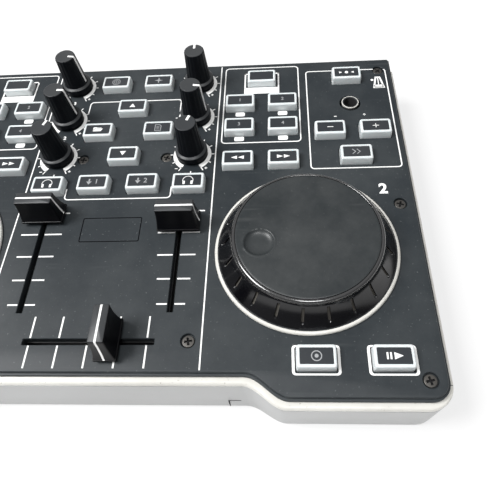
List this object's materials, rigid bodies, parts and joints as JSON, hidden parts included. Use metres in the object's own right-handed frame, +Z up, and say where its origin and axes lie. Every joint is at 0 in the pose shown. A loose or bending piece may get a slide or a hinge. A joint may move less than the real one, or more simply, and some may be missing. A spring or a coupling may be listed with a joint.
{
  "type": "dj controller",
  "caption": "Two-deck DJ controller: flat black panel with sprung buttons, knobs, faders and two jog wheels on a shallow case with a silver bumper.",
  "frame": {"origin": "middle of the footprint, on the surface that the feet stand on", "axes": "+X to the player's right, +Y to the back, +Z up"},
  "size_m": [0.263, 0.1768, 0.05],
  "materials": {
    "panel_black": "fine-grained black, dusty and scuffed",
    "bumper_silver": "satin silver paint on plastic",
    "trim_silver": "satin silver paint on plastic, worn at the edge",
    "case_black": "textured black moulding",
    "board_green": "green solder mask",
    "socket_steel": "tinned steel shell",
    "ring_white": "off-white gloss",
    "spindle_steel": "ground steel",
    "button_clear": "translucent pale grey with a dark label",
    "knob_black": "satin black",
    "cap_black": "black with a white line",
    "jog_black": "gloss black skirt, satin black disc",
    "shaft_metal": "nickel-plated"
  },
  "bodies": {
    "case": {"faceplate": "panel_black", "front_bumper": "bumper_silver", "side_trim_a": "trim_silver", "side_trim_b": "trim_silver", "lower_case": "case_black", "main_board": "board_green", "usb_socket": "socket_steel", "jog_trim_ring_a": "ring_white", "jog_trim_ring_b": "ring_white", "jog_spindle_a": "spindle_steel", "jog_spindle_b": "spindle_steel"},
    "vinyl_button": {"vinyl_button": "button_clear"},
    "magic_button": {"magic_button": "button_clear"},
    "up_button": {"up_button": "button_clear"},
    "folders_button": {"folders_button": "button_clear"},
    "files_button": {"files_button": "button_clear"},
    "down_button": {"down_button": "button_clear"},
    "load_button_a": {"load_button_a": "button_clear"},
    "load_button_b": {"load_button_b": "button_clear"},
    "listen_button_a": {"listen_button_a": "button_clear"},
    "listen_button_b": {"listen_button_b": "button_clear"},
    "shift_button_b": {"shift_button_b": "button_clear"},
    "pad_1_button_b": {"pad_1_button_b": "button_clear"},
    "pad_2_button_b": {"pad_2_button_b": "button_clear"},
    "pad_3_button_b": {"pad_3_button_b": "button_clear"},
    "pad_4_button_b": {"pad_4_button_b": "button_clear"},
    "rewind_button_b": {"rewind_button_b": "button_clear"},
    "forward_button_b": {"forward_button_b": "button_clear"},
    "pitch_reset_button_b": {"pitch_reset_button_b": "button_clear"},
    "pitch_minus_button_b": {"pitch_minus_button_b": "button_clear"},
    "pitch_plus_button_b": {"pitch_plus_button_b": "button_clear"},
    "sync_button_b": {"sync_button_b": "button_clear"},
    "cue_button_b": {"cue_button_b": "button_clear"},
    "play_button_b": {"play_button_b": "button_clear"},
    "shift_button_a": {"shift_button_a": "button_clear"},
    "pad_1_button_a": {"pad_1_button_a": "button_clear"},
    "pad_2_button_a": {"pad_2_button_a": "button_clear"},
    "pad_3_button_a": {"pad_3_button_a": "button_clear"},
    "pad_4_button_a": {"pad_4_button_a": "button_clear"},
    "rewind_button_a": {"rewind_button_a": "button_clear"},
    "forward_button_a": {"forward_button_a": "button_clear"},
    "pitch_reset_button_a": {"pitch_reset_button_a": "button_clear"},
    "pitch_minus_button_a": {"pitch_minus_button_a": "button_clear"},
    "pitch_plus_button_a": {"pitch_plus_button_a": "button_clear"},
    "sync_button_a": {"sync_button_a": "button_clear"},
    "cue_button_a": {"cue_button_a": "button_clear"},
    "play_button_a": {"play_button_a": "button_clear"},
    "bass_knob_a": {"bass_knob_a": "knob_black"},
    "bass_knob_b": {"bass_knob_b": "knob_black"},
    "medium_knob_a": {"medium_knob_a": "knob_black"},
    "medium_knob_b": {"medium_knob_b": "knob_black"},
    "treble_knob_a": {"treble_knob_a": "knob_black"},
    "treble_knob_b": {"treble_knob_b": "knob_black"},
    "pitch_shaft_a": {"pitch_shaft_a": "shaft_metal"},
    "pitch_shaft_b": {"pitch_shaft_b": "shaft_metal"},
    "jog_wheel_a": {"jog_wheel_a": "jog_black"},
    "jog_wheel_b": {"jog_wheel_b": "jog_black"},
    "volume_fader_cap_a": {"volume_fader_cap_a": "cap_black"},
    "volume_fader_cap_b": {"volume_fader_cap_b": "cap_black"},
    "crossfader_cap": {"crossfader_cap": "cap_black"}
  },
  "joints": [
    {"name": "jog_wheel_a_turn", "type": "hinge", "parent": "case", "child": "jog_wheel_a", "pos_m": [-0.0826, -0.0262, 0.03], "axis": [0, 0, 1], "continuous": true},
    {"name": "jog_wheel_b_turn", "type": "hinge", "parent": "case", "child": "jog_wheel_b", "pos_m": [0.0826, -0.0262, 0.03], "axis": [0, 0, 1], "continuous": true},
    {"name": "volume_fader_cap_a_slide", "type": "slide", "parent": "case", "child": "volume_fader_cap_a", "axis": [0, 1, 0], "range_m": [-0.0429, 0.0021]},
    {"name": "volume_fader_cap_b_slide", "type": "slide", "parent": "case", "child": "volume_fader_cap_b", "axis": [0, 1, 0], "range_m": [-0.0377, 0.0073]},
    {"name": "crossfader_cap_slide", "type": "slide", "parent": "case", "child": "crossfader_cap", "axis": [1, 0, 0], "range_m": [-0.0311, 0.0139]},
    {"name": "pitch_shaft_a_turn", "type": "hinge", "parent": "case", "child": "pitch_shaft_a", "pos_m": [-0.1071, 0.05635, 0.03], "axis": [0, 0, 1], "continuous": true},
    {"name": "pitch_shaft_b_turn", "type": "hinge", "parent": "case", "child": "pitch_shaft_b", "pos_m": [0.1071, 0.05635, 0.03], "axis": [0, 0, 1], "continuous": true},
    {"name": "bass_knob_a_turn", "type": "hinge", "parent": "case", "child": "bass_knob_a", "pos_m": [-0.032, 0.02595, 0.03], "axis": [0, 0, 1], "range_deg": [-128, 172]},
    {"name": "bass_knob_b_turn", "type": "hinge", "parent": "case", "child": "bass_knob_b", "pos_m": [0.032, 0.02595, 0.03], "axis": [0, 0, 1], "range_deg": [-130, 170]},
    {"name": "medium_knob_a_turn", "type": "hinge", "parent": "case", "child": "medium_knob_a", "pos_m": [-0.032, 0.04995, 0.03], "axis": [0, 0, 1], "range_deg": [-55, 245]},
    {"name": "medium_knob_b_turn", "type": "hinge", "parent": "case", "child": "medium_knob_b", "pos_m": [0.032, 0.04995, 0.03], "axis": [0, 0, 1], "range_deg": [-50, 250]},
    {"name": "treble_knob_a_turn", "type": "hinge", "parent": "case", "child": "treble_knob_a", "pos_m": [-0.032, 0.07395, 0.03], "axis": [0, 0, 1], "range_deg": [-50, 250]},
    {"name": "treble_knob_b_turn", "type": "hinge", "parent": "case", "child": "treble_knob_b", "pos_m": [0.032, 0.07395, 0.03], "axis": [0, 0, 1], "range_deg": [-150, 150]},
    {"name": "cue_button_b_press", "type": "slide", "parent": "case", "child": "cue_button_b", "axis": [0, 0, -1], "range_m": [0, 0.001], "stiffness_N_per_m": 300},
    {"name": "play_button_b_press", "type": "slide", "parent": "case", "child": "play_button_b", "axis": [0, 0, -1], "range_m": [0, 0.001], "stiffness_N_per_m": 300},
    {"name": "cue_button_a_press", "type": "slide", "parent": "case", "child": "cue_button_a", "axis": [0, 0, -1], "range_m": [0, 0.001], "stiffness_N_per_m": 300},
    {"name": "play_button_a_press", "type": "slide", "parent": "case", "child": "play_button_a", "axis": [0, 0, -1], "range_m": [0, 0.001], "stiffness_N_per_m": 300},
    {"name": "vinyl_button_press", "type": "slide", "parent": "case", "child": "vinyl_button", "axis": [0, 0, -1], "range_m": [0, 0.001], "stiffness_N_per_m": 300},
    {"name": "magic_button_press", "type": "slide", "parent": "case", "child": "magic_button", "axis": [0, 0, -1], "range_m": [0, 0.001], "stiffness_N_per_m": 300},
    {"name": "up_button_press", "type": "slide", "parent": "case", "child": "up_button", "axis": [0, 0, -1], "range_m": [0, 0.001], "stiffness_N_per_m": 300},
    {"name": "folders_button_press", "type": "slide", "parent": "case", "child": "folders_button", "axis": [0, 0, -1], "range_m": [0, 0.001], "stiffness_N_per_m": 300},
    {"name": "files_button_press", "type": "slide", "parent": "case", "child": "files_button", "axis": [0, 0, -1], "range_m": [0, 0.001], "stiffness_N_per_m": 300},
    {"name": "down_button_press", "type": "slide", "parent": "case", "child": "down_button", "axis": [0, 0, -1], "range_m": [0, 0.001], "stiffness_N_per_m": 300},
    {"name": "load_button_a_press", "type": "slide", "parent": "case", "child": "load_button_a", "axis": [0, 0, -1], "range_m": [0, 0.001], "stiffness_N_per_m": 300},
    {"name": "load_button_b_press", "type": "slide", "parent": "case", "child": "load_button_b", "axis": [0, 0, -1], "range_m": [0, 0.001], "stiffness_N_per_m": 300},
    {"name": "listen_button_a_press", "type": "slide", "parent": "case", "child": "listen_button_a", "axis": [0, 0, -1], "range_m": [0, 0.001], "stiffness_N_per_m": 300},
    {"name": "listen_button_b_press", "type": "slide", "parent": "case", "child": "listen_button_b", "axis": [0, 0, -1], "range_m": [0, 0.001], "stiffness_N_per_m": 300},
    {"name": "shift_button_b_press", "type": "slide", "parent": "case", "child": "shift_button_b", "axis": [0, 0, -1], "range_m": [0, 0.001], "stiffness_N_per_m": 300},
    {"name": "pad_1_button_b_press", "type": "slide", "parent": "case", "child": "pad_1_button_b", "axis": [0, 0, -1], "range_m": [0, 0.001], "stiffness_N_per_m": 300},
    {"name": "pad_2_button_b_press", "type": "slide", "parent": "case", "child": "pad_2_button_b", "axis": [0, 0, -1], "range_m": [0, 0.001], "stiffness_N_per_m": 300},
    {"name": "pad_3_button_b_press", "type": "slide", "parent": "case", "child": "pad_3_button_b", "axis": [0, 0, -1], "range_m": [0, 0.001], "stiffness_N_per_m": 300},
    {"name": "pad_4_button_b_press", "type": "slide", "parent": "case", "child": "pad_4_button_b", "axis": [0, 0, -1], "range_m": [0, 0.001], "stiffness_N_per_m": 300},
    {"name": "rewind_button_b_press", "type": "slide", "parent": "case", "child": "rewind_button_b", "axis": [0, 0, -1], "range_m": [0, 0.001], "stiffness_N_per_m": 300},
    {"name": "forward_button_b_press", "type": "slide", "parent": "case", "child": "forward_button_b", "axis": [0, 0, -1], "range_m": [0, 0.001], "stiffness_N_per_m": 300},
    {"name": "pitch_reset_button_b_press", "type": "slide", "parent": "case", "child": "pitch_reset_button_b", "axis": [0, 0, -1], "range_m": [0, 0.001], "stiffness_N_per_m": 300},
    {"name": "pitch_minus_button_b_press", "type": "slide", "parent": "case", "child": "pitch_minus_button_b", "axis": [0, 0, -1], "range_m": [0, 0.001], "stiffness_N_per_m": 300},
    {"name": "pitch_plus_button_b_press", "type": "slide", "parent": "case", "child": "pitch_plus_button_b", "axis": [0, 0, -1], "range_m": [0, 0.001], "stiffness_N_per_m": 300},
    {"name": "sync_button_b_press", "type": "slide", "parent": "case", "child": "sync_button_b", "axis": [0, 0, -1], "range_m": [0, 0.001], "stiffness_N_per_m": 300},
    {"name": "shift_button_a_press", "type": "slide", "parent": "case", "child": "shift_button_a", "axis": [0, 0, -1], "range_m": [0, 0.001], "stiffness_N_per_m": 300},
    {"name": "pad_1_button_a_press", "type": "slide", "parent": "case", "child": "pad_1_button_a", "axis": [0, 0, -1], "range_m": [0, 0.001], "stiffness_N_per_m": 300},
    {"name": "pad_2_button_a_press", "type": "slide", "parent": "case", "child": "pad_2_button_a", "axis": [0, 0, -1], "range_m": [0, 0.001], "stiffness_N_per_m": 300},
    {"name": "pad_3_button_a_press", "type": "slide", "parent": "case", "child": "pad_3_button_a", "axis": [0, 0, -1], "range_m": [0, 0.001], "stiffness_N_per_m": 300},
    {"name": "pad_4_button_a_press", "type": "slide", "parent": "case", "child": "pad_4_button_a", "axis": [0, 0, -1], "range_m": [0, 0.001], "stiffness_N_per_m": 300},
    {"name": "rewind_button_a_press", "type": "slide", "parent": "case", "child": "rewind_button_a", "axis": [0, 0, -1], "range_m": [0, 0.001], "stiffness_N_per_m": 300},
    {"name": "forward_button_a_press", "type": "slide", "parent": "case", "child": "forward_button_a", "axis": [0, 0, -1], "range_m": [0, 0.001], "stiffness_N_per_m": 300},
    {"name": "pitch_reset_button_a_press", "type": "slide", "parent": "case", "child": "pitch_reset_button_a", "axis": [0, 0, -1], "range_m": [0, 0.001], "stiffness_N_per_m": 300},
    {"name": "pitch_minus_button_a_press", "type": "slide", "parent": "case", "child": "pitch_minus_button_a", "axis": [0, 0, -1], "range_m": [0, 0.001], "stiffness_N_per_m": 300},
    {"name": "pitch_plus_button_a_press", "type": "slide", "parent": "case", "child": "pitch_plus_button_a", "axis": [0, 0, -1], "range_m": [0, 0.001], "stiffness_N_per_m": 300},
    {"name": "sync_button_a_press", "type": "slide", "parent": "case", "child": "sync_button_a", "axis": [0, 0, -1], "range_m": [0, 0.001], "stiffness_N_per_m": 300}
  ]
}
